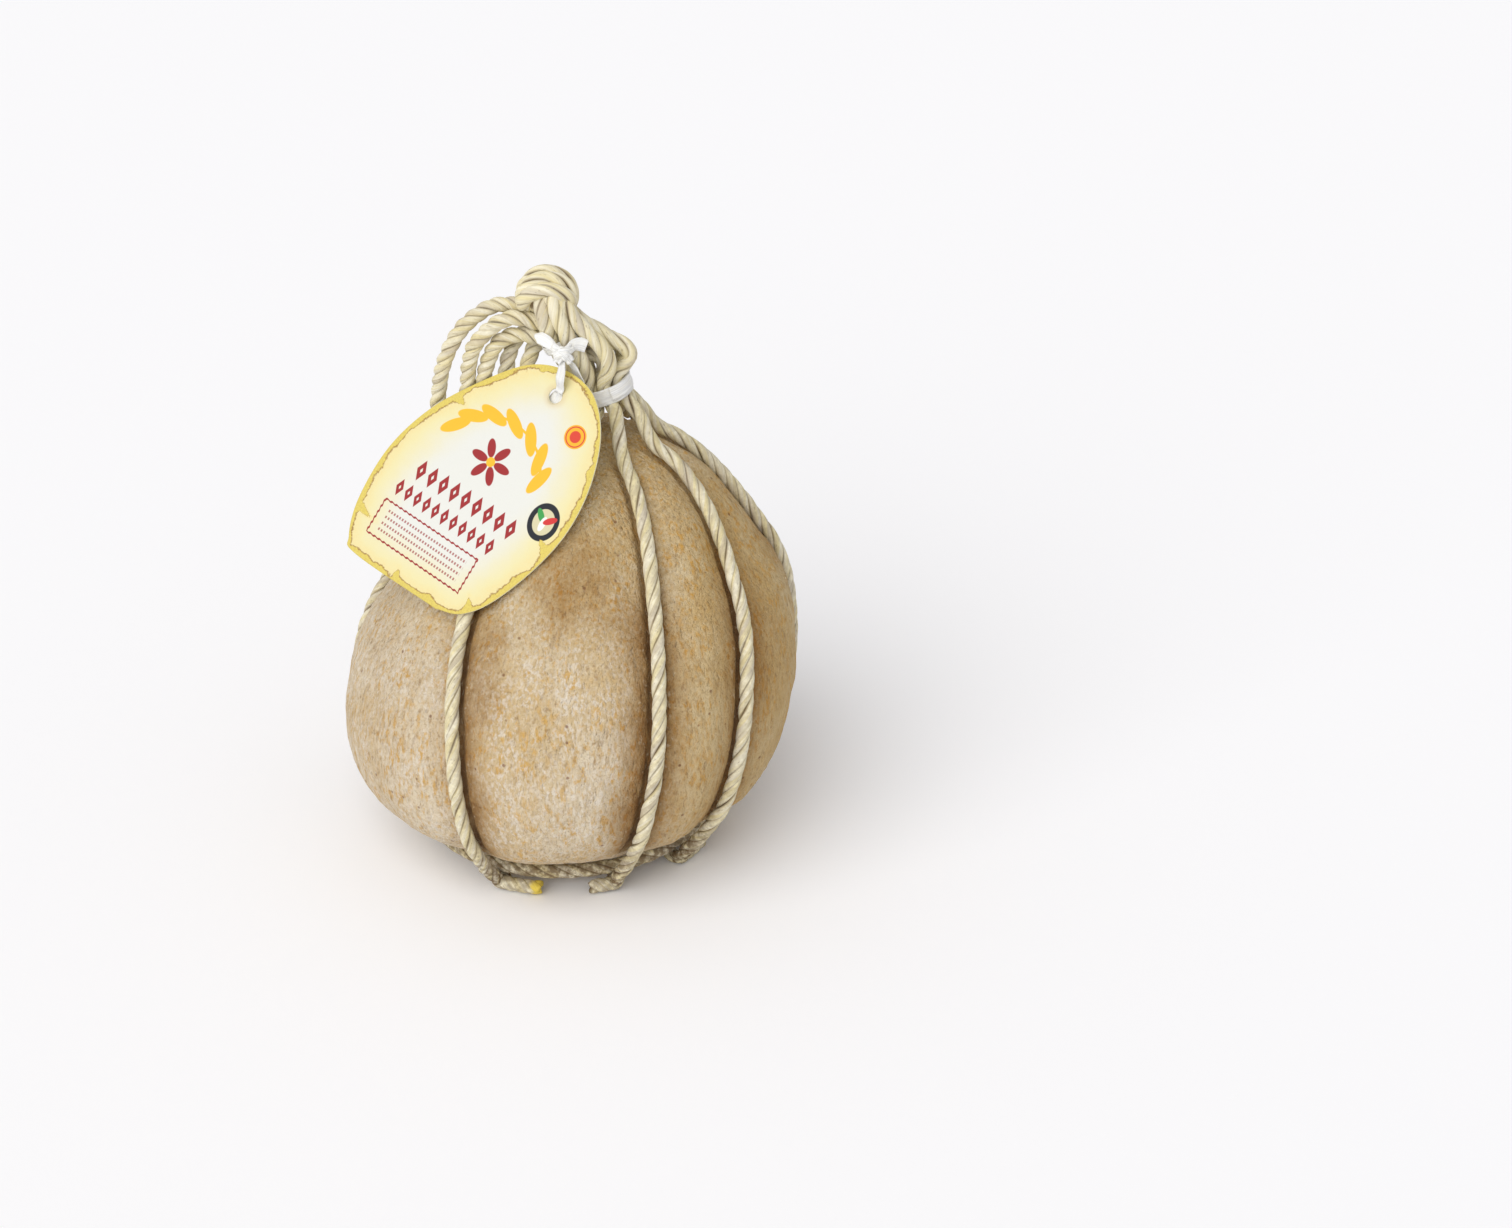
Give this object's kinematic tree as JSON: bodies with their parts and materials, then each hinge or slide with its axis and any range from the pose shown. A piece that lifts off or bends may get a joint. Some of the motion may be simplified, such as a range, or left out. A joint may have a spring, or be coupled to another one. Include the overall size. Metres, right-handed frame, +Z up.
{
  "type": "pear-shaped stretched-curd cheese in a rope net",
  "caption": "Large pear-shaped aged cheese with a mottled tan rind, laced in a rope net with a top knot and hanging loops, and a leaning card tag tied at the neck with clear ribbon.",
  "frame": {"origin": "on the surface that the cheese stands on, under the middle of its girth", "axes": "+Z up, -Y the side that the tag faces, +X to the right as seen from that side"},
  "size_m": [0.1805, 0.1796, 0.2404],
  "materials": {
    "rind": "dry mottled tan cheese rind with pale bloom, ochre spots and brown in the rope grooves",
    "rope": "three-strand natural fibre rope, straw coloured",
    "card": "printed card, off-white with a yellow edge",
    "clear_ribbon": "milky clear plastic ribbon"
  },
  "bodies": {
    "root": {"cheese": "rind", "base_ring": "rope", "net_rope_front_left": "rope", "net_rope_front_right": "rope", "net_rope_right_front": "rope", "net_rope_right_back": "rope", "net_rope_back_right": "rope", "net_rope_back_left": "rope", "net_rope_left": "rope", "cut_end_front_left": "rope", "cut_end_front_right": "rope", "cut_end_right_front": "rope", "cut_end_right_back": "rope", "cut_end_back_right": "rope", "cut_end_back_left": "rope", "cut_end_left": "rope", "neck_bight": "rope", "top_knot": "rope", "hanging_loop_outer": "rope", "hanging_loop_inner": "rope", "spare_rope_end": "rope", "tie_band": "clear_ribbon", "ribbon_wrap": "clear_ribbon", "ribbon_knot": "clear_ribbon", "ribbon_tail_to_hole": "clear_ribbon", "ribbon_tail_behind": "clear_ribbon", "tag": "card"}
  },
  "joints": []
}
